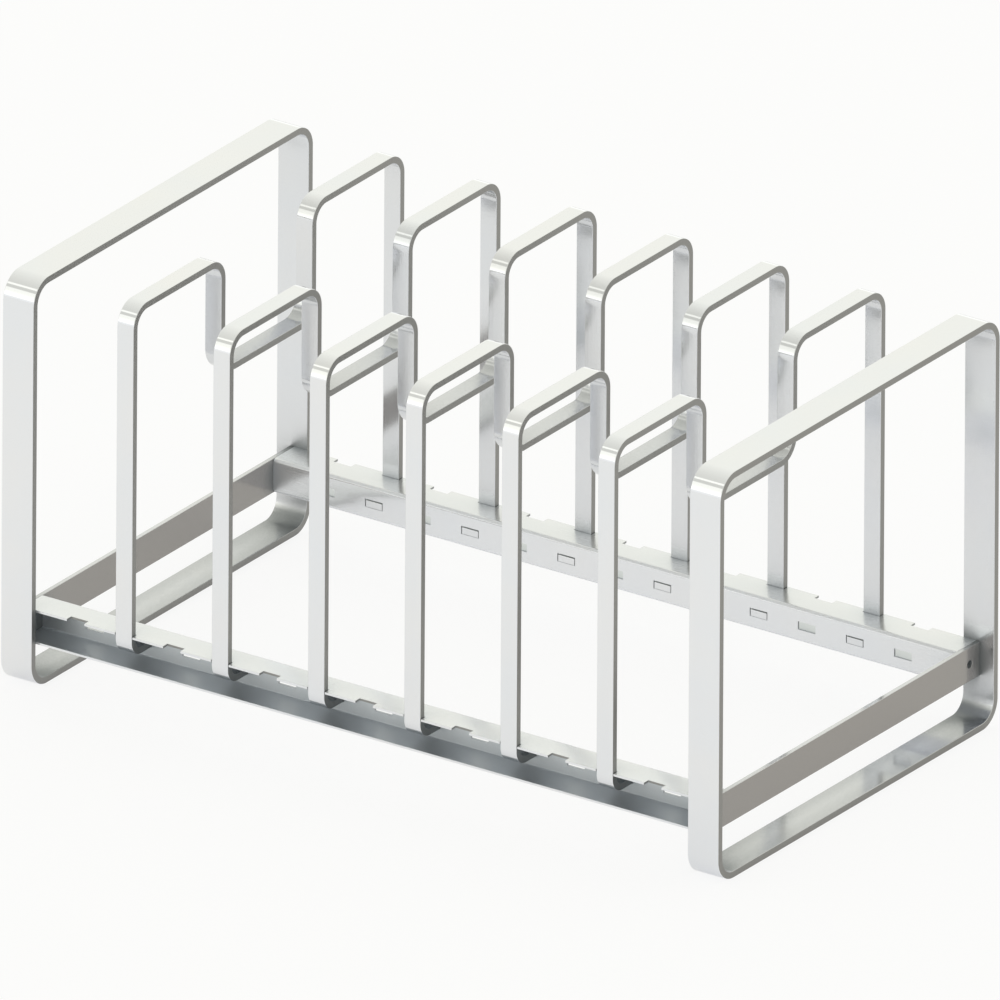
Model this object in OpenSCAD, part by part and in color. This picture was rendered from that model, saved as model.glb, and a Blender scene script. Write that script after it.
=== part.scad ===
// Pot lid rack: two end hoops and a base frame of folded rails, with six bent strips between which
// the lids stand on edge. X runs along the rack, Y to the back and Z up. The origin is on the table,
// under the middle of the rack.

/* [Overall] */
// Length of the rack across its two end hoops
rack_l = 351.3; // [240:0.1:500]
// Depth of the rack, front to back
rack_d = 200; // [180:1:300]
// Height of the rack, and of its dividers
rack_h = 180; // [120:1:260]

/* [End hoops] */
// Width of the hoops' strip
hoop_w = 15; // [13:0.5:30]
// Thickness of the hoops' strip
hoop_t = 3; // [1.5:0.5:6]
// Outside radius of the hoops' corners
hoop_r = 11; // [8:0.5:17]

/* [Base frame] */
// Height of the rails' underside above the table
rail_z = 20; // [10:0.5:40]
// Height of the rails
rail_h = 15; // [13:0.5:30]
// Depth of the rails' flanges
rail_d = 15; // [13:0.5:30]
// Thickness of the rails' sheet
sheet_t = 1; // [0.8:0.1:2]
// Outside radius of the rails' folds
fold_r = 1.6; // [1.4:0.1:3]
// Thickness of the end bars
bar_t = 2; // [1:0.5:5]
// Distance from the outer side of a hoop to the outer face of its end bar
bar_inset = 6.65; // [1:0.05:8]
// Diameter of the hole near each end of an end bar
bar_hole_d = 3.5; // [2:0.1:6]

/* [Places for dividers] */
// Number of places along each rail
places = 13; // [11:1:16]
// Distance from an end bar to the middle of the nearest place
end_margin = 25.7; // [8:0.1:50]
// Height of a slot's lower edge above the rails' underside
slot_rise = 5.5; // [3:0.1:6]
// Clearance on each side of a strip in its notch and slot
side_gap = 0.25; // [0.1:0.05:0.5]
// Clearance over a tab in its slot
tab_gap = 0.5; // [0.1:0.05:0.8]
// Clearance behind a leg in its notch
leg_gap = 0.1; // [0.1:0.05:1]

/* [Dividers] */
// Width of the dividers' strip
divider_w = 8; // [4:0.5:12]
// Thickness of the dividers' strip
divider_t = 3; // [1.5:0.1:3.5]
// Depth of each of the two humps
hump_d = 66; // [30:1:75]
// Depth of the low saddle between the humps, from their tops
saddle_drop = 50; // [25:1:75]
// Outside radius of the bends at the tops of the humps
hump_r = 10; // [6:0.5:14]
// Radius of the hollows at the ends of the saddle
saddle_r = 8; // [3:0.5:12]
// Outside radius of the bends at the feet
foot_r = 7; // [5:0.1:9]
// Places from one divider to the next
divider_step = 2; // [1:1:2]

/* [Hidden] */
$fn = 96;

// Number of dividers, one for each of their nodes
dividers = 6;
// How far a cutting tool reaches past the face it enters or leaves
past = 1;

// Colours of the polished strip and of the duller cut bars
strip_colour = [0.90, 0.91, 0.90];
rail_colour = [0.82, 0.83, 0.83];
bar_colour = [0.72, 0.71, 0.69];

// The base frame fills the depth between the legs of a hoop
frame_half = rack_d / 2 - hoop_t;
web_y = frame_half - rail_d;
// Outer face of each end bar, and the rails between the two inner ones
bar_x = rack_l / 2 - bar_inset;
rail_l = 2 * (bar_x - bar_t);

// Places are spread evenly between the margins, and the dividers stand about the middle
pitch = (rail_l - 2 * end_margin) / (places - 1);
first_place = floor((places - 1 - divider_step * (dividers - 1)) / 2);
function place_x(i) = (i - (places - 1) / 2) * pitch;
function divider_x(number) = place_x(first_place + divider_step * (number - 1));

// Heights of a tab's underside, which rests on the slot's lower edge, and of the rails' middle
tab_z = rail_z + slot_rise;
rail_mid_z = rail_z + rail_h / 2;

// A strip bent on edge, drawn in a plane and extruded across its width. The line is its middle,
// a list of [x, y, bend radius] with a right angle at each corner.
function direction(a, b) = [sign(b[0] - a[0]), sign(b[1] - a[1])];
function point(p) = [p[0], p[1]];

module straight_run(from, to, t) {
    along = direction(from, to);
    across = [abs(along[1]), abs(along[0])] * t / 2;
    low = [min(from[0], to[0]), min(from[1], to[1])];
    high = [max(from[0], to[0]), max(from[1], to[1])];
    translate(low - across) square(high - low + 2 * across);
}

module quarter_bend(corner, into, out, r, t) {
    centre = point(corner) + r * (out - into);
    reach = (into - out) * (r + t);
    translate(centre) intersection() {
        difference() {
            circle(r = r + t / 2);
            circle(r = r - t / 2);
        }
        translate([min(0, reach[0]), min(0, reach[1])]) square([abs(reach[0]), abs(reach[1])]);
    }
}

module bent_strip(line, t, w) {
    last = len(line) - 1;
    linear_extrude(height = w, center = true) {
        for (i = [0 : last - 1]) {
            along = direction(line[i], line[i + 1]);
            from = point(line[i]) + line[i][2] * along;
            to = point(line[i + 1]) - line[i + 1][2] * along;
            straight_run(from, to, t);
        }
        for (i = [1 : last - 1]) {
            into = direction(line[i - 1], line[i]);
            out = direction(line[i], line[i + 1]);
            quarter_bend(line[i], into, out, line[i][2], t);
        }
    }
}

// Turns a drawing's x to the back and its y up, with the extrusion along the rack
module stand_across(x) {
    translate([x, 0, 0]) rotate([90, 0, 90]) children();
}

module hoop(x) {
    side = rack_d / 2 - hoop_t / 2;
    low = hoop_t / 2;
    top = rack_h - hoop_t / 2;
    bend = hoop_r - hoop_t / 2;
    loop = [
        [0, low, 0],
        [side, low, bend],
        [side, top, bend],
        [-side, top, bend],
        [-side, low, bend],
        [0, low, 0],
    ];
    color(strip_colour) stand_across(x) bent_strip(loop, hoop_t, hoop_w);
}

module left_end_hoop() {
    hoop((hoop_w - rack_l) / 2);
}

module right_end_hoop() {
    hoop((rack_l - hoop_w) / 2);
}

// Room for a leg in the edge of the upper flange
module notch(x) {
    width = divider_w + 2 * side_gap;
    depth = divider_t + leg_gap;
    translate([x - width / 2, frame_half - depth, rail_mid_z]) {
        cube([width, depth + past, rail_h]);
    }
}

// Room for a tab in the web
module slot(x) {
    width = divider_w + 2 * side_gap;
    height = divider_t + tab_gap;
    translate([x - width / 2, web_y - past, tab_z]) cube([width, sheet_t + 2 * past, height]);
}

// Channel open to the back, with a notch and a slot at each place
module rail() {
    web = web_y + sheet_t / 2;
    upper = rail_z + rail_h - sheet_t / 2;
    lower = rail_z + sheet_t / 2;
    bend = fold_r - sheet_t / 2;
    section = [[frame_half, upper, 0], [web, upper, bend], [web, lower, bend], [frame_half, lower, 0]];
    color(rail_colour) difference() {
        stand_across(0) bent_strip(section, sheet_t, rail_l);
        for (i = [0 : places - 1]) {
            notch(place_x(i));
            slot(place_x(i));
        }
    }
}

module rear_rail() {
    rail();
}

module front_rail() {
    mirror([0, 1, 0]) rail();
}

// Flat bar across the ends of both rails, with a hole opposite the middle of each channel
module end_bar(low_x) {
    hole_y = frame_half - rail_d / 2;
    color(bar_colour) difference() {
        translate([low_x, -frame_half, rail_z]) cube([bar_t, 2 * frame_half, rail_h]);
        for (side = [-1, 1]) {
            translate([low_x - past, side * hole_y, rail_mid_z]) rotate([0, 90, 0]) {
                cylinder(h = bar_t + 2 * past, d = bar_hole_d);
            }
        }
    }
}

module left_end_bar() {
    end_bar(-bar_x);
}

module right_end_bar() {
    end_bar(bar_x - bar_t);
}

// Front tab, leg and hump, the saddle, then the rear hump, leg and tab
module divider(number) {
    half = divider_t / 2;
    leg = frame_half - half;
    inner_leg = frame_half - hump_d + half;
    tab = tab_z + half;
    top = rack_h - half;
    saddle = rack_h - saddle_drop - half;
    foot_bend = foot_r - half;
    hump_bend = hump_r - half;
    saddle_bend = saddle_r + half;
    bent = [
        [-web_y, tab, 0],
        [-leg, tab, foot_bend],
        [-leg, top, hump_bend],
        [-inner_leg, top, hump_bend],
        [-inner_leg, saddle, saddle_bend],
        [inner_leg, saddle, saddle_bend],
        [inner_leg, top, hump_bend],
        [leg, top, hump_bend],
        [leg, tab, foot_bend],
        [web_y, tab, 0],
    ];
    color(strip_colour) stand_across(divider_x(number)) bent_strip(bent, divider_t, divider_w);
}

module divider_1() { divider(1); }
module divider_2() { divider(2); }
module divider_3() { divider(3); }
module divider_4() { divider(4); }
module divider_5() { divider(5); }
module divider_6() { divider(6); }

left_end_hoop();
right_end_hoop();
front_rail();
rear_rail();
left_end_bar();
right_end_bar();
divider_1();
divider_2();
divider_3();
divider_4();
divider_5();
divider_6();
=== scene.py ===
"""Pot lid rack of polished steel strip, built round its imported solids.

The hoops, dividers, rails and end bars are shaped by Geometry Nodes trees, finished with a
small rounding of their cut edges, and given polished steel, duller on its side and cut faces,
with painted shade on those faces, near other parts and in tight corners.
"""

import math

import bpy
from bpy.props import FloatProperty, FloatVectorProperty, IntProperty, PointerProperty
from mathutils import Matrix, Vector


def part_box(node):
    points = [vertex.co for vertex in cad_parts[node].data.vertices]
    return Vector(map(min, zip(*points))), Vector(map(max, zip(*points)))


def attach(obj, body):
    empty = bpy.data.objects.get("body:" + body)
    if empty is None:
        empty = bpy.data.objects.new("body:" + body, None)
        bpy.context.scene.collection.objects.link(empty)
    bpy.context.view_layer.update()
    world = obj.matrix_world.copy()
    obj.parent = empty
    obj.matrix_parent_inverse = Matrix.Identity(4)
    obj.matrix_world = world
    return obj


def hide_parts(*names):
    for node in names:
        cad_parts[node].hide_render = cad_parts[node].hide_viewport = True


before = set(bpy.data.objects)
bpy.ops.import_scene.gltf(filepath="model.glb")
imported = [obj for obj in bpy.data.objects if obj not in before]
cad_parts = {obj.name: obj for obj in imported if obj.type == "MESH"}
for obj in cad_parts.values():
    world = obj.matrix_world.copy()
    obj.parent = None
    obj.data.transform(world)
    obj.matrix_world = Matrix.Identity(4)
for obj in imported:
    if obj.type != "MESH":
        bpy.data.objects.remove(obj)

bl_info = {
    "name": "Pot Lid Rack",
    "version": (1, 0, 0),
    "blender": (4, 5, 0),
    "location": "View3D > Sidebar > Lid Rack",
    "description": "Builds a pot lid rack of bent steel strip, its finishes and its studio",
    "category": "Add Mesh",
}

MM = 0.001

DIVIDERS = [f"divider_{i}" for i in range(1, 7)]
HOOPS = ["left_end_hoop", "right_end_hoop"]
RAILS = ["front_rail", "rear_rail"]
END_BARS = ["left_end_bar", "right_end_bar"]

# Places for dividers along a rail, of which every second one is filled
PLACES = 13

# Fineness of the meshes: steps in a rail's fold, sides of a hole and of a rounded edge
FOLD_STEPS = 8
HOLE_SIDES = 64
EDGE_STEPS = 3
SHEET_EDGE_STEPS = 2
# Edges sharper than this are rounded, on the end bars by this share of the strips' rounding
SHARP_ANGLE = math.radians(50)
BAR_EDGE_SHARE = 0.6

# Sockets of the colour mix node, whose names it shares with its other kinds
MIX_SHARE, MIX_FIRST, MIX_SECOND, MIX_RESULT = 0, 6, 7, 2

# Scales of the polishing grain across its lines and along them, and on each axis for lines that
# run across the rack, along it or along an end bar
FINE, LONG = 2200.0, 14.0
LINES_ACROSS_RACK = (FINE, LONG, LONG)
LINES_ALONG_RACK = (LONG, FINE, FINE)
LINES_ALONG_BAR = (FINE, LONG, FINE)

# How squarely a face looks along the rack, up or along an axis, from not at all to fully
LOOKS_ALONG = (0.75, 0.95)
LOOKS_UP = (0.3, 0.8)
LOOKS_SQUARE = (0.85, 0.99)
# Heights between which painted shade on the lowest faces that look up thins out, in metres
LOW_SHADE_HEIGHTS = (0.004, 0.02)
# How dark that painted shade makes a face
LOW_SHADE = 0.1
# Painted shade where other surfaces stand near: where it starts to show and by how much, and
# where a corner is tight
FIRST_SHELTER = (0.0, 0.06)
FIRST_SHADE = 0.12
TIGHT_SHELTER = (0.1, 0.5)
SHELTER_SAMPLES = 16
# Distances from the middle, along the rack, between which the ends begin, in metres
END_REGION = (0.15, 0.16)
# Share of a tight corner's painted shade that it has away from the ends
MIDDLE_CORNER_SHADE = 0.2
# Roughness of open polished steel, and what full shelter and a tight corner add to it
POLISH = 0.07
SHELTER_ROUGHNESS = 0.3
CORNER_ROUGHNESS = 0.7
# How many times its own dullness full shelter adds to a dull face
DULL_SHELTER = 6.0

# Scales of cloudy tones, of smudges and of slow waves in a face
CLOUDS, SMUDGES, WAVES = 24.0, 55.0, 16.0
# Noise between which a smudge goes from none to full
SMUDGE_RANGE = (0.05, 0.28)
# How much clouds and lines shift the tone between cool and warm
CLOUD_TONE, LINE_TONE = 1.4, 0.4
# How much lines, clouds and smudges roughen a face
LINE_WEAR, CLOUD_WEAR, SMUDGE_WEAR = 0.05, 0.04, 0.04
# Bumps: their height in metres, how strongly they show and the lines' share in them
BUMP_HEIGHT, BUMP_STRENGTH, LINE_BUMP = 0.00006, 0.2, 0.35

FLOOR_REACH = 6.0
WHITE = (1.0, 1.0, 1.0, 1.0)


def node_size(node):
    """Size of a node's box, in metres."""
    low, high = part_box(node)
    return high - low


def node_middle(node):
    """Middle of a node's box, in metres."""
    low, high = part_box(node)
    return (low + high) / 2


class Value:
    """A node socket that takes part in Python arithmetic, which adds the maths nodes it needs."""

    def __init__(self, graph, socket):
        self.graph = graph
        self.socket = socket

    def maths(self, operation, *others):
        node = self.graph.tree.nodes.new("ShaderNodeMath")
        node.operation = operation
        for place, value in enumerate((self, *others)):
            self.graph.feed(node.inputs[place], value)
        return Value(self.graph, node.outputs[0])

    def __add__(self, other):
        return self.maths("ADD", other)

    def __mul__(self, other):
        return self.maths("MULTIPLY", other)

    def __sub__(self, other):
        return self.maths("SUBTRACT", other)

    def __truediv__(self, other):
        return self.maths("DIVIDE", other)

    def __neg__(self):
        return self.maths("MULTIPLY", -1.0)

    __radd__ = __add__
    __rmul__ = __mul__

    def __rsub__(self, other):
        return -self + other

    def size(self):
        return self.maths("ABSOLUTE")

    def clamped(self):
        node = self.graph.tree.nodes.new("ShaderNodeClamp")
        self.graph.feed(node.inputs["Value"], self)
        return Value(self.graph, node.outputs[0])

    def ramp(self, low, high):
        """Smooth step from 0 at low to 1 at high."""
        step = ((self - low) / (high - low)).clamped()
        return step * step * (3.0 - 2.0 * step)


class Graph:
    """A node tree that is filled by naming node types, their settings and their inputs."""

    def __init__(self, tree):
        self.tree = tree
        tree.nodes.clear()

    def feed(self, socket, value):
        if isinstance(value, Value):
            self.tree.links.new(value.socket, socket)
        else:
            socket.default_value = value

    def node(self, kind, settings=None, **inputs):
        """Adds a node. Settings come first; inputs are keyed by socket name or by _number."""
        node = self.tree.nodes.new(kind)
        for name, value in (settings or {}).items():
            setattr(node, name, value)
        for name, value in inputs.items():
            key = int(name[1:]) if name[0] == "_" else name.replace("_", " ")
            self.feed(node.inputs[key], value)
        return node

    def value(self, kind, settings=None, output=0, **inputs):
        """The same, giving one of the node's outputs."""
        return Value(self, self.node(kind, settings, **inputs).outputs[output])


def sizes_of(context):
    return context.scene.lid_rack_sizes


def finish_of(context):
    return context.scene.lid_rack_finish


class LidRackSizes(bpy.types.PropertyGroup):
    """Sizes of the strips that the solids' boxes don't give."""

    strip_thickness: FloatProperty(
        name="Strip Thickness",
        description="Thickness of the flat strip of the hoops and dividers",
        default=3.0 * MM,
        min=1.0 * MM,
        unit="LENGTH",
    )
    hoop_radius: FloatProperty(
        name="Hoop Radius",
        description="Outside radius of a hoop's corners",
        default=11.0 * MM,
        unit="LENGTH",
    )
    hump_depth: FloatProperty(
        name="Hump Depth",
        description="Depth, front to back, of each hump of a divider",
        default=66.0 * MM,
        unit="LENGTH",
    )
    saddle_drop: FloatProperty(
        name="Saddle Drop",
        description="How far the saddle lies below the tops of the humps",
        default=50.0 * MM,
        unit="LENGTH",
    )
    hump_radius: FloatProperty(
        name="Hump Radius",
        description="Outside radius of the bends at the tops of the humps",
        default=10.0 * MM,
        unit="LENGTH",
    )
    saddle_radius: FloatProperty(
        name="Saddle Radius",
        description="Radius of the hollows at the ends of the saddle",
        default=8.0 * MM,
        unit="LENGTH",
    )
    foot_radius: FloatProperty(
        name="Foot Radius",
        description="Outside radius of the bends at a divider's feet",
        default=7.0 * MM,
        unit="LENGTH",
    )
    sheet_thickness: FloatProperty(
        name="Sheet Thickness",
        description="Thickness of the sheet that the rails are folded from",
        default=1.0 * MM,
        unit="LENGTH",
    )
    fold_radius: FloatProperty(
        name="Fold Radius",
        description="Outside radius of the rails' folds",
        default=1.6 * MM,
        unit="LENGTH",
    )
    side_gap: FloatProperty(
        name="Side Gap",
        description="Clearance on each side of a strip in its notch and slot",
        default=0.25 * MM,
        unit="LENGTH",
    )
    leg_gap: FloatProperty(
        name="Leg Gap",
        description="Clearance behind a leg in its notch",
        default=0.1 * MM,
        unit="LENGTH",
    )
    tab_gap: FloatProperty(
        name="Tab Gap",
        description="Clearance over a tab in its slot",
        default=0.5 * MM,
        unit="LENGTH",
    )
    hole_diameter: FloatProperty(
        name="Hole Diameter",
        description="Diameter of the hole near each end of an end bar",
        default=3.5 * MM,
        unit="LENGTH",
    )
    strip_edge: FloatProperty(
        name="Strip Edge",
        description="Rounding of the long edges of strips and bars",
        default=0.25 * MM,
        unit="LENGTH",
    )
    sheet_edge: FloatProperty(
        name="Sheet Edge",
        description="Rounding of the cut edges of the rails' sheet",
        default=0.12 * MM,
        unit="LENGTH",
    )
    bend_steps: IntProperty(
        name="Bend Steps",
        description="Flat steps in each bend of a strip",
        default=24,
        min=4,
    )


class LidRackFinish(bpy.types.PropertyGroup):
    """Colours of the steel, of the shade painted on it and of the studio."""

    polished_cool: FloatVectorProperty(
        name="Polished Steel, Cool",
        description="Colour of the polished faces where they are coolest",
        default=(0.845, 0.868, 0.922),
        subtype="COLOR",
    )
    polished_warm: FloatVectorProperty(
        name="Polished Steel, Warm",
        description="Colour of the polished faces where they are warmest",
        default=(0.885, 0.883, 0.905),
        subtype="COLOR",
    )
    # Painted shade: this dark colour on faces that look along the rack and on cut faces stands in
    # for their dark reflection, on a duller finish
    cut_edge_shade: FloatVectorProperty(
        name="Cut Edge",
        description="Colour of the duller cut edges of strips and punched sheet",
        default=(0.285, 0.28, 0.27),
        subtype="COLOR",
    )
    # Painted shade: this dark colour on the end bars' faces that look along the rack and in their
    # holes stands in for their dark reflection
    end_bar_shade: FloatVectorProperty(
        name="End Bar",
        description="Colour of the outer faces of the end bars",
        default=(0.35, 0.332, 0.318),
        subtype="COLOR",
    )
    # Painted shade: the colour that strips darken towards where other surfaces stand near
    shelter_shade: FloatVectorProperty(
        name="Shelter Shade",
        description="Colour of a strip where the polishing wheel can't reach at all",
        default=(0.285, 0.30, 0.31),
        subtype="COLOR",
    )
    # Painted shade: the colour that the rails' sheet darkens towards where other surfaces stand
    # near, as in the rails' hollows
    channel: FloatVectorProperty(
        name="Channel Inside",
        description="Colour of the rails' sheet where the polishing wheel can't reach at all",
        default=(0.675, 0.705, 0.74),
        subtype="COLOR",
    )
    # How near another surface the steel gets painted shade and a duller polish
    shade_and_dulling_reach: FloatProperty(
        name="Shade And Dulling Reach",
        description="How near another surface the polish starts to fail",
        default=160.0 * MM,
        unit="LENGTH",
    )
    # How near another surface a tight corner gets more painted shade and a duller polish
    corner_reach: FloatProperty(
        name="Corner Reach",
        description="How near another surface a corner is too tight for the wheel",
        default=22.0 * MM,
        unit="LENGTH",
    )
    floor: FloatVectorProperty(
        name="Floor",
        description="Colour of the studio floor",
        default=(0.97, 0.97, 0.97),
        subtype="COLOR",
    )


# Geometry trees

def geometry_tree(name, inputs):
    """A Geometry Nodes tree with these inputs after its geometry, and the values of them all."""
    tree = bpy.data.node_groups.new(name, "GeometryNodeTree")
    graph = Graph(tree)
    tree.interface.new_socket("Geometry", in_out="OUTPUT", socket_type="NodeSocketGeometry")
    tree.interface.new_socket("Geometry", in_out="INPUT", socket_type="NodeSocketGeometry")
    for label, kind in inputs:
        tree.interface.new_socket(label, in_out="INPUT", socket_type=f"NodeSocket{kind}")
    entry = tree.nodes.new("NodeGroupInput")
    given = {s.name: Value(graph, s) for s in entry.outputs if s.name}
    return graph, given


def close_tree(graph, geometry, material):
    """Ends a tree in real geometry, shaded smooth, with its material."""
    smooth = graph.value("GeometryNodeSetShadeSmooth", Geometry=geometry)
    real = graph.value("GeometryNodeRealizeInstances", Geometry=smooth)
    painted = graph.value("GeometryNodeSetMaterial", Geometry=real, Material=material)
    exit_node = graph.tree.nodes.new("NodeGroupOutput")
    graph.feed(exit_node.inputs[0], painted)


def swept_strip(graph, given):
    """Sweeps a flat section along the polyline, rounding each corner by its own bend radius."""
    path = graph.value("GeometryNodeMeshToCurve", Mesh=given["Geometry"])
    bend = graph.value("GeometryNodeInputNamedAttribute", {"data_type": "FLOAT"}, Name="bend")
    rounded = graph.value(
        "GeometryNodeFilletCurve", {"mode": "POLY"},
        Curve=path, Count=given["Bend Steps"], Radius=bend,
    )
    section = graph.value(
        "GeometryNodeCurvePrimitiveQuadrilateral", {"mode": "RECTANGLE"},
        Width=given["Width"], Height=given["Thickness"],
    )
    return graph.value(
        "GeometryNodeCurveToMesh", Curve=rounded, Profile_Curve=section, Fill_Caps=True
    )


STRIP_INPUTS = [("Width", "Float"), ("Thickness", "Float"), ("Bend Steps", "Int")]


def bent_strip_tree():
    """A strip of one width and thickness that follows the object's own polyline."""
    graph, given = geometry_tree("bent_strip", STRIP_INPUTS + [("Material", "Material")])
    close_tree(graph, swept_strip(graph, given), given["Material"])
    return graph.tree


def block(graph, size, middle):
    """A box of one size about a middle, both of them vectors."""
    box = graph.value("GeometryNodeMeshCube", Size=size)
    return graph.value("GeometryNodeTransform", Geometry=box, Translation=middle)


def vector(graph, x, y, z):
    return graph.value("ShaderNodeCombineXYZ", X=x, Y=y, Z=z)


def marked_cut(graph, geometry):
    """Marks a tool's faces, so that the faces it cuts can be finished as cut edges."""
    return graph.value(
        "GeometryNodeStoreNamedAttribute", {"data_type": "FLOAT", "domain": "FACE"},
        Geometry=geometry, Name="cut", Value=1.0,
    )


def punched_rail_tree():
    """A folded rail, with a notch in its upper flange and a slot in its web at each place."""
    inputs = STRIP_INPUTS + [
        ("Places", "Int"), ("First Place", "Float"), ("Pitch", "Float"), ("Cut Width", "Float"),
        ("Notch Middle", "Vector"), ("Notch Depth", "Float"),
        ("Slot Middle", "Vector"), ("Slot Height", "Float"), ("Reach", "Float"),
        ("Material", "Material"),
    ]
    graph, given = geometry_tree("punched_rail", inputs)
    rail = swept_strip(graph, given)
    notch_size = vector(graph, given["Cut Width"], given["Notch Depth"], given["Reach"])
    slot_size = vector(graph, given["Cut Width"], given["Reach"], given["Slot Height"])
    punches = graph.node("GeometryNodeJoinGeometry")
    for size, middle in ((notch_size, "Notch Middle"), (slot_size, "Slot Middle")):
        graph.feed(punches.inputs[0], block(graph, size, given[middle]))
    places = graph.value(
        "GeometryNodeMeshLine", {"mode": "OFFSET"},
        Count=given["Places"],
        Start_Location=vector(graph, given["First Place"], 0.0, 0.0),
        Offset=vector(graph, given["Pitch"], 0.0, 0.0),
    )
    row = graph.value(
        "GeometryNodeInstanceOnPoints", Points=places, Instance=Value(graph, punches.outputs[0])
    )
    cutters = marked_cut(graph, graph.value("GeometryNodeRealizeInstances", Geometry=row))
    cut = graph.node("GeometryNodeMeshBoolean", {"operation": "DIFFERENCE", "solver": "EXACT"})
    graph.feed(cut.inputs["Mesh 1"], rail)
    graph.feed(cut.inputs["Mesh 2"], cutters)
    close_tree(graph, Value(graph, cut.outputs["Mesh"]), given["Material"])
    return graph.tree


def drilled_bar_tree():
    """A flat bar with two holes through its thickness, one near each end."""
    inputs = [
        ("Size", "Vector"), ("Middle", "Vector"), ("Hole Spacing", "Float"),
        ("Hole Diameter", "Float"), ("Hole Sides", "Int"), ("Reach", "Float"),
        ("Material", "Material"),
    ]
    graph, given = geometry_tree("drilled_bar", inputs)
    bar = block(graph, given["Size"], given["Middle"])
    drill = graph.value(
        "GeometryNodeMeshCylinder",
        Vertices=given["Hole Sides"], Radius=given["Hole Diameter"] / 2.0, Depth=given["Reach"],
    )
    level = graph.value(
        "GeometryNodeTransform", Geometry=drill, Rotation=(0.0, math.pi / 2, 0.0)
    )
    ends = graph.value(
        "GeometryNodeMeshLine", {"mode": "OFFSET"},
        Count=2,
        Start_Location=vector(graph, 0.0, given["Hole Spacing"] / -2.0, 0.0),
        Offset=vector(graph, 0.0, given["Hole Spacing"], 0.0),
    )
    placed = graph.value("GeometryNodeTransform", Geometry=ends, Translation=given["Middle"])
    row = graph.value("GeometryNodeInstanceOnPoints", Points=placed, Instance=level)
    drills = marked_cut(graph, graph.value("GeometryNodeRealizeInstances", Geometry=row))
    cut = graph.node("GeometryNodeMeshBoolean", {"operation": "DIFFERENCE", "solver": "EXACT"})
    graph.feed(cut.inputs["Mesh 1"], bar)
    graph.feed(cut.inputs["Mesh 2"], drills)
    close_tree(graph, Value(graph, cut.outputs["Mesh"]), given["Material"])
    return graph.tree


def polyline(name, corners, closed=False):
    """An object whose mesh is a chain of edges through (point, bend radius) corners."""
    points = [point for point, radius in corners]
    edges = [(i, i + 1) for i in range(len(points) - 1)]
    if closed:
        edges.append((len(points) - 1, 0))
    mesh = bpy.data.meshes.new(name)
    mesh.from_pydata(points, edges, [])
    bend = mesh.attributes.new("bend", "FLOAT", "POINT")
    bend.data.foreach_set("value", [radius for point, radius in corners])
    made = bpy.data.objects.new(name, mesh)
    bpy.context.scene.collection.objects.link(made)
    return made


def run_tree(piece, tree, inputs, edge, edge_steps=EDGE_STEPS):
    """Runs a tree on a piece, rounds its sharp edges and leaves one plain mesh."""
    maker = piece.modifiers.new("shape", "NODES")
    maker.node_group = tree
    known = {s.name: s.identifier for s in tree.interface.items_tree if s.in_out == "INPUT"}
    for label, value in inputs.items():
        maker[known[label]] = value
    rounding = piece.modifiers.new("edges", "BEVEL")
    rounding.width = edge
    rounding.segments = edge_steps
    rounding.limit_method = "ANGLE"
    rounding.angle_limit = SHARP_ANGLE
    rounding.harden_normals = True
    graph = bpy.context.evaluated_depsgraph_get()
    made = bpy.data.meshes.new_from_object(
        piece.evaluated_get(graph), preserve_all_data_layers=True, depsgraph=graph
    )
    piece.modifiers.clear()
    made.materials.clear()
    made.materials.append(inputs["Material"])
    made.polygons.foreach_set("material_index", [0] * len(made.polygons))
    drawn = piece.data
    piece.data = made
    bpy.data.meshes.remove(drawn)
    return piece


def hand_over(piece, node):
    """The piece stands for its node and moves with the rack."""
    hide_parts(node)
    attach(piece, "root")


# Steel

def object_point(graph):
    return graph.value("ShaderNodeTexCoord", output="Object")


def stretched(graph, point, scale):
    """The point with its three axes scaled, so that a pattern is drawn out along the smallest."""
    return graph.value("ShaderNodeMapping", Vector=point, Scale=scale)


def grain(graph, point, scale, detail, roughness=0.6):
    """Noise about 0, from about -0.5 to 0.5."""
    noise = graph.value(
        "ShaderNodeTexNoise", Vector=point, Scale=scale, Detail=detail, Roughness=roughness
    )
    return noise - 0.5


def mixed(graph, share, first, second):
    """A colour between two, by a share."""
    node = graph.node("ShaderNodeMix", {"data_type": "RGBA"})
    for place, value in ((MIX_SHARE, share), (MIX_FIRST, first), (MIX_SECOND, second)):
        graph.feed(node.inputs[place], value)
    return Value(graph, node.outputs[MIX_RESULT])


def parts_of(graph, point):
    node = graph.node("ShaderNodeSeparateXYZ", _0=point)
    return [Value(graph, s) for s in node.outputs]


def colour(rgb):
    return (*rgb, 1.0)


# Its result paints shade into the steel's colour and dulls its polish
def shelter_shade(graph, reach):
    """How much other surfaces within reach stand over a point, from 0 to 1."""
    return 1.0 - graph.value(
        "ShaderNodeAmbientOcclusion", {"samples": SHELTER_SAMPLES}, output="AO", Distance=reach
    )


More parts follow.
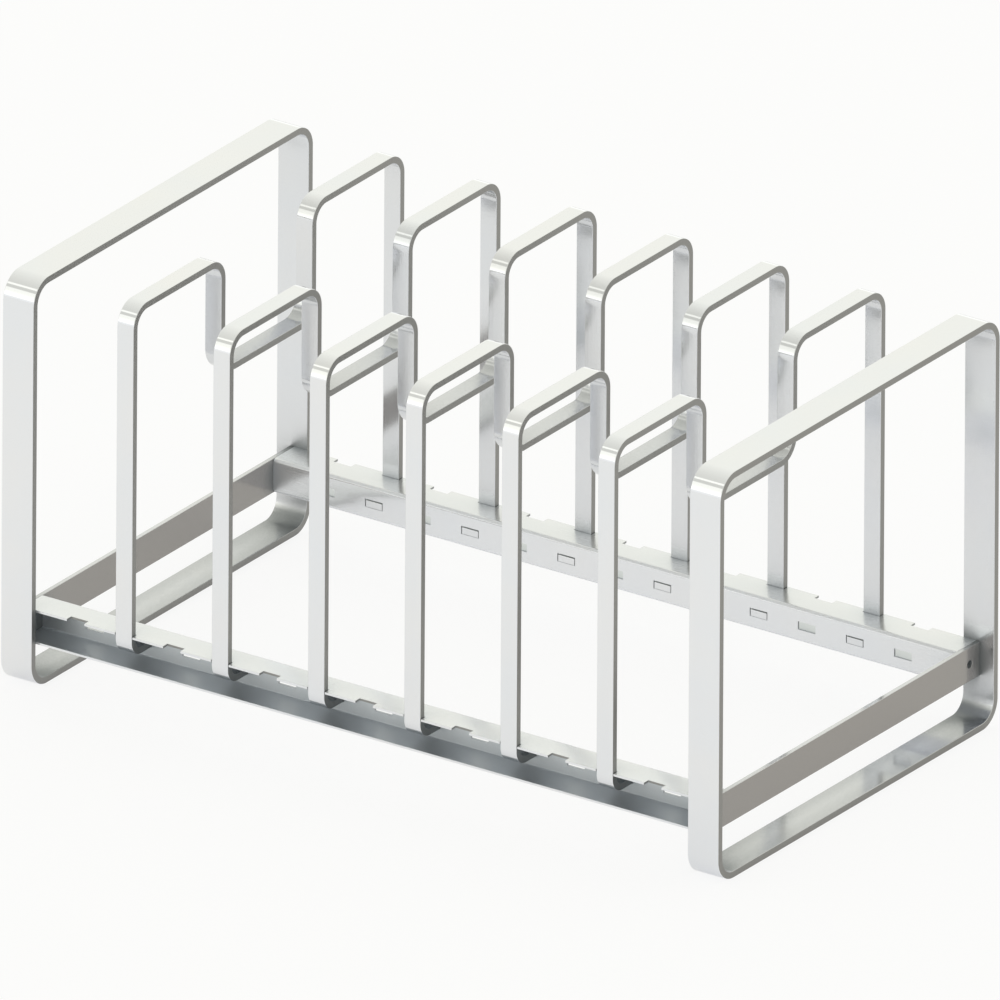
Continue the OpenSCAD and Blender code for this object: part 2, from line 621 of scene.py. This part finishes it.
def steel(
    name, finish, across, edge, shade_colour,
    depth=0.75, upward_shade=1.6, dullness=0.0, fold_wear=0.0, satin_dullness=0.24, corner=0.55,
):
    """Polished steel, duller where the polishing wheel can't reach, with painted shade there.

    across scales the grain on each axis, high across the polishing lines. edge is the colour of
    the side faces, which are those that look along the rack and those marked as cut: they are
    duller, and this dark colour is painted shade standing in for their dark reflection.
    shade_colour is the colour of the painted shade where other surfaces stand near, depth how
    fast it sets in and upward_shade how much more of it shows on faces that look up. fold_wear is
    how much duller the outsides of folds are, and how much lighter their painted shade,
    satin_dullness how much duller the side faces are. corner is how much more painted shade shows
    in tight corners, most of all at the ends of the rack, where hoops and end bars meet.
    """
    material = bpy.data.materials.new(name)
    material.use_nodes = True
    graph = Graph(material.node_tree)
    point = object_point(graph)
    facing = parts_of(graph, graph.value("ShaderNodeTexCoord", output="Normal"))
    cut = graph.value("ShaderNodeAttribute", {"attribute_name": "cut"}, output="Fac")
    # Side faces, those that look along the rack and the cut ones, are duller and take the edge
    # colour, painted shade standing in for their dark reflection
    satin_and_shade = (facing[0].size().ramp(*LOOKS_ALONG) + cut).clamped()
    # Painted shade: where other surfaces stand near, the colour darkens towards the shade colour;
    # the polish is duller there too
    shelter = shelter_shade(graph, finish.shade_and_dulling_reach)
    along, _, height = parts_of(graph, point)
    # Painted shade in tight corners, stronger towards the ends of the rack
    where = MIDDLE_CORNER_SHADE + along.size().ramp(*END_REGION) * (1.0 - MIDDLE_CORNER_SHADE)
    tight = shelter_shade(graph, finish.corner_reach).ramp(*TIGHT_SHELTER) * corner * where
    upward = facing[2].ramp(*LOOKS_UP)
    level_or_upright = (
        facing[1].size().ramp(*LOOKS_SQUARE) + facing[2].size().ramp(*LOOKS_SQUARE)
    )
    folded = (1.0 - level_or_upright - satin_and_shade).clamped()
    # Painted shade on faces that look up, darker towards the bottom
    low_shade = upward * (1.0 - height.ramp(*LOW_SHADE_HEIGHTS)) * LOW_SHADE
    # Share of painted shade mixed into the colour
    painted_shade = shelter * (shelter * depth + upward * upward_shade)
    painted_shade = painted_shade + shelter.ramp(*FIRST_SHELTER) * FIRST_SHADE + tight
    painted_shade = ((painted_shade + low_shade) * (1.0 - folded * fold_wear)).clamped()

    lines = grain(graph, stretched(graph, point, across), 1.0, detail=4.0, roughness=0.65)
    clouds = grain(graph, point, CLOUDS, detail=2.0)
    smudge = grain(graph, point, SMUDGES, detail=5.0, roughness=0.7).ramp(*SMUDGE_RANGE)

    tone = (clouds * CLOUD_TONE + lines * LINE_TONE + 0.5).clamped()
    face = mixed(graph, tone, colour(finish.polished_cool), colour(finish.polished_warm))
    face = mixed(graph, satin_and_shade, face, colour(edge))
    face = mixed(graph, painted_shade, face, colour(shade_colour))
    worn = lines * LINE_WEAR + clouds * CLOUD_WEAR + smudge * SMUDGE_WEAR
    rough = POLISH + dullness + worn + satin_and_shade * satin_dullness + folded * fold_wear
    rough = rough + shelter * (SHELTER_ROUGHNESS + dullness * DULL_SHELTER)
    rough = rough + tight * CORNER_ROUGHNESS

    waves = grain(graph, point, WAVES, detail=1.0)
    bump = graph.value(
        "ShaderNodeBump",
        Strength=BUMP_STRENGTH, Distance=BUMP_HEIGHT, Height=lines * LINE_BUMP + waves,
    )
    shader = graph.node(
        "ShaderNodeBsdfPrincipled",
        Base_Color=face, Metallic=1.0, Roughness=rough.clamped(), Normal=bump,
    )
    exit_node = graph.node("ShaderNodeOutputMaterial")
    graph.tree.links.new(shader.outputs[0], exit_node.inputs["Surface"])
    return material


class LIDRACK_OT_end_hoops(bpy.types.Operator):
    """Makes the two closed hoops that stand at the ends"""

    bl_idname = "lid_rack.end_hoops"
    bl_label = "End Hoops"

    def execute(self, context):
        sizes = sizes_of(context)
        tree = bent_strip_tree()
        finish = finish_of(context)
        material = steel(
            "strip_steel", finish, LINES_ACROSS_RACK, finish.cut_edge_shade, finish.shelter_shade
        )
        for node in HOOPS:
            low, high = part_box(node)
            x = (low.x + high.x) / 2
            half = sizes.strip_thickness / 2
            bend = sizes.hoop_radius - half
            corners = [
                ((x, low.y + half, low.z + half), bend),
                ((x, high.y - half, low.z + half), bend),
                ((x, high.y - half, high.z - half), bend),
                ((x, low.y + half, high.z - half), bend),
            ]
            piece = polyline(f"{node}_strip", corners, closed=True)
            inputs = {
                "Width": high.x - low.x,
                "Thickness": sizes.strip_thickness,
                "Bend Steps": sizes.bend_steps,
                "Material": material,
            }
            run_tree(piece, tree, inputs, sizes.strip_edge)
            hand_over(piece, node)
        return {"FINISHED"}


class LIDRACK_OT_dividers(bpy.types.Operator):
    """Makes the six bent dividers"""

    bl_idname = "lid_rack.dividers"
    bl_label = "Dividers"

    def execute(self, context):
        sizes = sizes_of(context)
        tree = bent_strip_tree()
        material = bpy.data.materials["strip_steel"]
        for node in DIVIDERS:
            piece = polyline(f"{node}_strip", self.corners(node, sizes))
            inputs = {
                "Width": node_size(node).x,
                "Thickness": sizes.strip_thickness,
                "Bend Steps": sizes.bend_steps,
                "Material": material,
            }
            run_tree(piece, tree, inputs, sizes.strip_edge)
            hand_over(piece, node)
        return {"FINISHED"}

    def corners(self, node, sizes):
        """Corners of the strip's middle line, front tab to rear tab, with their bend radii."""
        low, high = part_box(node)
        x = (low.x + high.x) / 2
        half = sizes.strip_thickness / 2
        leg = high.y - half
        inner_leg = high.y - sizes.hump_depth + half
        tab_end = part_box("rear_rail")[0].y
        tab = low.z + half
        top = high.z - half
        saddle = high.z - sizes.saddle_drop - half
        hump = sizes.hump_radius - half
        rear = [
            ((x, inner_leg, saddle), sizes.saddle_radius + half),
            ((x, inner_leg, top), hump),
            ((x, leg, top), hump),
            ((x, leg, tab), sizes.foot_radius - half),
            ((x, tab_end, tab), 0.0),
        ]
        front = [((px, -py, pz), bend) for (px, py, pz), bend in reversed(rear)]
        return front + rear


class LIDRACK_OT_rails(bpy.types.Operator):
    """Makes the two folded rails with their notches and slots"""

    bl_idname = "lid_rack.rails"
    bl_label = "Rails"

    def execute(self, context):
        sizes = sizes_of(context)
        tree = punched_rail_tree()
        finish = finish_of(context)
        material = steel(
            "sheet_steel", finish, LINES_ALONG_RACK, finish.cut_edge_shade, finish.channel,
            depth=1.7, upward_shade=0.9, dullness=0.05, fold_wear=0.6, corner=0.0,
        )
        first, second = (node_middle(n).x for n in DIVIDERS[:2])
        pitch = (second - first) / 2
        for node, side in zip(RAILS, (-1, 1)):
            low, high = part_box(node)
            half = sizes.sheet_thickness / 2
            edge = max(abs(low.y), abs(high.y))
            web = min(abs(low.y), abs(high.y))
            bend = sizes.fold_radius - half
            corners = [
                ((0.0, side * edge, high.z - half), 0.0),
                ((0.0, side * (web + half), high.z - half), bend),
                ((0.0, side * (web + half), low.z + half), bend),
                ((0.0, side * edge, low.z + half), 0.0),
            ]
            piece = polyline(f"{node}_sheet", corners)
            past = 2 * sizes.sheet_thickness
            notch = sizes.strip_thickness + sizes.leg_gap + past
            slot = sizes.strip_thickness + sizes.tab_gap
            tab_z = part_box(DIVIDERS[0])[0].z
            inputs = {
                "Width": high.x - low.x,
                "Thickness": sizes.sheet_thickness,
                "Bend Steps": FOLD_STEPS,
                "Places": PLACES,
                "First Place": first - pitch,
                "Pitch": pitch,
                "Cut Width": node_size(DIVIDERS[0]).x + 2 * sizes.side_gap,
                "Notch Middle": (0.0, side * (edge + past - notch / 2), high.z - half),
                "Notch Depth": notch,
                "Slot Middle": (0.0, side * (web + half), tab_z + slot / 2),
                "Slot Height": slot,
                "Reach": past + sizes.sheet_thickness,
                "Material": material,
            }
            run_tree(piece, tree, inputs, sizes.sheet_edge, SHEET_EDGE_STEPS)
            hand_over(piece, node)
        return {"FINISHED"}


class LIDRACK_OT_end_bars(bpy.types.Operator):
    """Makes the two drilled bars that close the rails' ends"""

    bl_idname = "lid_rack.end_bars"
    bl_label = "End Bars"

    def execute(self, context):
        sizes = sizes_of(context)
        tree = drilled_bar_tree()
        finish = finish_of(context)
        material = steel(
            "bar_steel", finish, LINES_ALONG_BAR, finish.end_bar_shade, finish.shelter_shade,
            satin_dullness=0.05,
        )
        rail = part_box("rear_rail")
        for node in END_BARS:
            size = node_size(node)
            piece = polyline(f"{node}_flat", [(node_middle(node), 0.0)])
            inputs = {
                "Size": size,
                "Middle": node_middle(node),
                "Hole Spacing": rail[0].y + rail[1].y,
                "Hole Diameter": sizes.hole_diameter,
                "Hole Sides": HOLE_SIDES,
                "Reach": 3 * size.x,
                "Material": material,
            }
            run_tree(piece, tree, inputs, sizes.strip_edge * BAR_EDGE_SHARE)
            hand_over(piece, node)
        return {"FINISHED"}


# The photograph's view: a parallel projection, measured on the rack's own edges, in metres
VIEW_AZIMUTH = math.radians(34.25)
VIEW_ELEVATION = math.radians(24.04)
VIEW_ROLL = math.radians(0.34)
VIEW_WIDTH = 0.40404
VIEW_RIGHT = 0.000327
VIEW_UP = 0.08177
VIEW_DISTANCE = 1.6
VIEW_CLIP = (0.05, 10.0)

# Brightness of the studio round the rack, and what its parts take away or add
STUDIO_LEVEL = 0.99
CEILING_DIM, CEILING_TILT = 0.142, 0.2
GROUND_DIM = 0.12
WALL_GLOW = 0.42
BACK_WALL_GLOW = 0.24
STRIP_LIGHT = 0.46
# Where these parts begin and end, in components of the direction from the rack
CEILING_RISE = (0.1, 0.45)
GROUND_FALL = (0.3, 0.8)
WALL_RISE, WALL_FALL = (0.04, 0.12), (0.52, 0.57)
STRIP_RISE, STRIP_FALL = (0.67, 0.70), (0.74, 0.765)
# The wall and the strip light stand in front, this far to the left and this wide
FRONT_SIDE = (0.1, 0.5)
FRONT_LEFT = 0.52
FRONT_WIDTH = (0.06, 0.16)
# The back wall reaches up and down from this far below level
BACK_SIDE = (0.5, 0.8)
BACK_DOWN = 0.1
BACK_HEIGHT = (0.1, 0.4)
# Tint of the studio's light from below, a little cool, and from above, a little warm
TINT_RANGE = (-0.3, 0.3)
COOL_LIGHT = (0.985, 1.0, 1.04, 1.0)
WARM_LIGHT = (0.992, 0.992, 0.90, 1.0)

# How much the floor is lifted towards white, to the camera and in the rack's reflections
FLOOR_LIFT = 0.85
FLOOR_LIFT_MIRRORED = 0.42


def camera_axes():
    """The camera's right, up and back directions in the photograph's view."""
    ca, sa = math.cos(VIEW_AZIMUTH), math.sin(VIEW_AZIMUTH)
    ce, se = math.cos(VIEW_ELEVATION), math.sin(VIEW_ELEVATION)
    level = Vector((ca, sa, 0.0))
    upright = Vector((-sa * se, ca * se, ce))
    back = Vector((sa * ce, -ca * ce, se))
    cr, sr = math.cos(VIEW_ROLL), math.sin(VIEW_ROLL)
    return cr * level + sr * upright, cr * upright - sr * level, back


def make_camera(scene):
    right, up, back = camera_axes()
    data = bpy.data.cameras.new("photo_view")
    data.type = "ORTHO"
    data.ortho_scale = VIEW_WIDTH
    data.clip_start, data.clip_end = VIEW_CLIP
    camera = bpy.data.objects.new("photo_view", data)
    turn = Matrix((right, up, back)).transposed()
    place = right * VIEW_RIGHT + up * VIEW_UP + back * VIEW_DISTANCE
    camera.matrix_world = Matrix.Translation(place) @ turn.to_4x4()
    scene.collection.objects.link(camera)
    scene.camera = camera


def band(value, rise, fall):
    """1 between the rise and the fall, and 0 beyond them."""
    return value.ramp(*rise) * (1.0 - value.ramp(*fall))


def make_world(scene):
    """White to the camera; to the rack, a pale studio with a wall and a strip light."""
    world = bpy.data.worlds.new("studio")
    world.use_nodes = True
    scene.world = world
    graph = Graph(world.node_tree)
    toward = graph.value("ShaderNodeTexCoord", output="Generated")
    x, y, z = parts_of(graph, toward)
    front = (-y).ramp(*FRONT_SIDE) * (1.0 - (x + FRONT_LEFT).size().ramp(*FRONT_WIDTH))
    back = (1.0 - (z + BACK_DOWN).size().ramp(*BACK_HEIGHT)) * y.ramp(*BACK_SIDE)
    ceiling = z.ramp(*CEILING_RISE) * (CEILING_DIM - CEILING_TILT * y)
    ground = (-z).ramp(*GROUND_FALL) * GROUND_DIM
    wall = band(z, WALL_RISE, WALL_FALL) * front * WALL_GLOW
    strip = band(z, STRIP_RISE, STRIP_FALL) * front * STRIP_LIGHT
    level = STUDIO_LEVEL - ceiling - ground + wall + back * BACK_WALL_GLOW + strip
    tint = mixed(graph, z.ramp(*TINT_RANGE), COOL_LIGHT, WARM_LIGHT)
    pale = graph.value("ShaderNodeVectorMath", {"operation": "SCALE"}, _0=tint, Scale=level)
    path = graph.node("ShaderNodeLightPath")
    seen = Value(graph, path.outputs["Is Camera Ray"])
    shown = mixed(graph, seen, pale, WHITE)
    light = graph.node("ShaderNodeBackground", Color=shown, Strength=1.0)
    exit_node = graph.node("ShaderNodeOutputWorld")
    graph.tree.links.new(light.outputs[0], exit_node.inputs["Surface"])


def make_floor(scene, finish):
    """A wide floor of pale paper, lifted nearly to white where it isn't in the rack's shade."""
    mesh = bpy.data.meshes.new("floor")
    turns = ((-1, -1), (1, -1), (1, 1), (-1, 1))
    corners = [(x * FLOOR_REACH, y * FLOOR_REACH, 0.0) for x, y in turns]
    mesh.from_pydata(corners, [], [(0, 1, 2, 3)])
    floor = bpy.data.objects.new("floor", mesh)
    material = bpy.data.materials.new("floor_paper")
    material.use_nodes = True
    graph = Graph(material.node_tree)
    paper = graph.node("ShaderNodeBsdfDiffuse", Color=colour(finish.floor))
    glow = graph.node("ShaderNodeEmission", Color=WHITE, Strength=1.0)
    path = graph.node("ShaderNodeLightPath")
    lifted = graph.node("ShaderNodeMixShader")
    seen = Value(graph, path.outputs["Is Camera Ray"])
    mirrored = Value(graph, path.outputs["Is Glossy Ray"])
    graph.feed(lifted.inputs[0], seen * FLOOR_LIFT + mirrored * FLOOR_LIFT_MIRRORED)
    graph.tree.links.new(paper.outputs[0], lifted.inputs[1])
    graph.tree.links.new(glow.outputs[0], lifted.inputs[2])
    exit_node = graph.node("ShaderNodeOutputMaterial")
    graph.tree.links.new(lifted.outputs[0], exit_node.inputs["Surface"])
    mesh.materials.append(material)
    scene.collection.objects.link(floor)
    floor.visible_shadow = False


class LIDRACK_OT_stage(bpy.types.Operator):
    """Makes the floor, the soft light and the camera"""

    bl_idname = "lid_rack.stage"
    bl_label = "Stage"

    def execute(self, context):
        scene = context.scene
        make_camera(scene)
        make_world(scene)
        make_floor(scene, finish_of(context))
        scene.view_settings.view_transform = "Standard"
        return {"FINISHED"}


class LIDRACK_PT_panel(bpy.types.Panel):
    """Lists the rack's operators, sizes and colours"""

    bl_idname = "LIDRACK_PT_panel"
    bl_label = "Pot Lid Rack"
    bl_space_type = "VIEW_3D"
    bl_region_type = "UI"
    bl_category = "Lid Rack"

    def draw(self, context):
        for operator in OPERATORS:
            self.layout.operator(operator.bl_idname)
        for group in (sizes_of(context), finish_of(context)):
            column = self.layout.column(align=True)
            for name in group.__annotations__:
                column.prop(group, name)


OPERATORS = (
    LIDRACK_OT_end_hoops,
    LIDRACK_OT_dividers,
    LIDRACK_OT_rails,
    LIDRACK_OT_end_bars,
    LIDRACK_OT_stage,
)
CLASSES = (LidRackSizes, LidRackFinish, *OPERATORS, LIDRACK_PT_panel)


def register():
    for cls in CLASSES:
        bpy.utils.register_class(cls)
    bpy.types.Scene.lid_rack_sizes = PointerProperty(type=LidRackSizes)
    bpy.types.Scene.lid_rack_finish = PointerProperty(type=LidRackFinish)


def unregister():
    del bpy.types.Scene.lid_rack_finish
    del bpy.types.Scene.lid_rack_sizes
    for cls in reversed(CLASSES):
        bpy.utils.unregister_class(cls)


def main():
    register()
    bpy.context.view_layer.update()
    bpy.ops.lid_rack.end_hoops()
    bpy.ops.lid_rack.dividers()
    bpy.ops.lid_rack.rails()
    bpy.ops.lid_rack.end_bars()
    bpy.ops.lid_rack.stage()


if __name__ == "__main__":
    main()
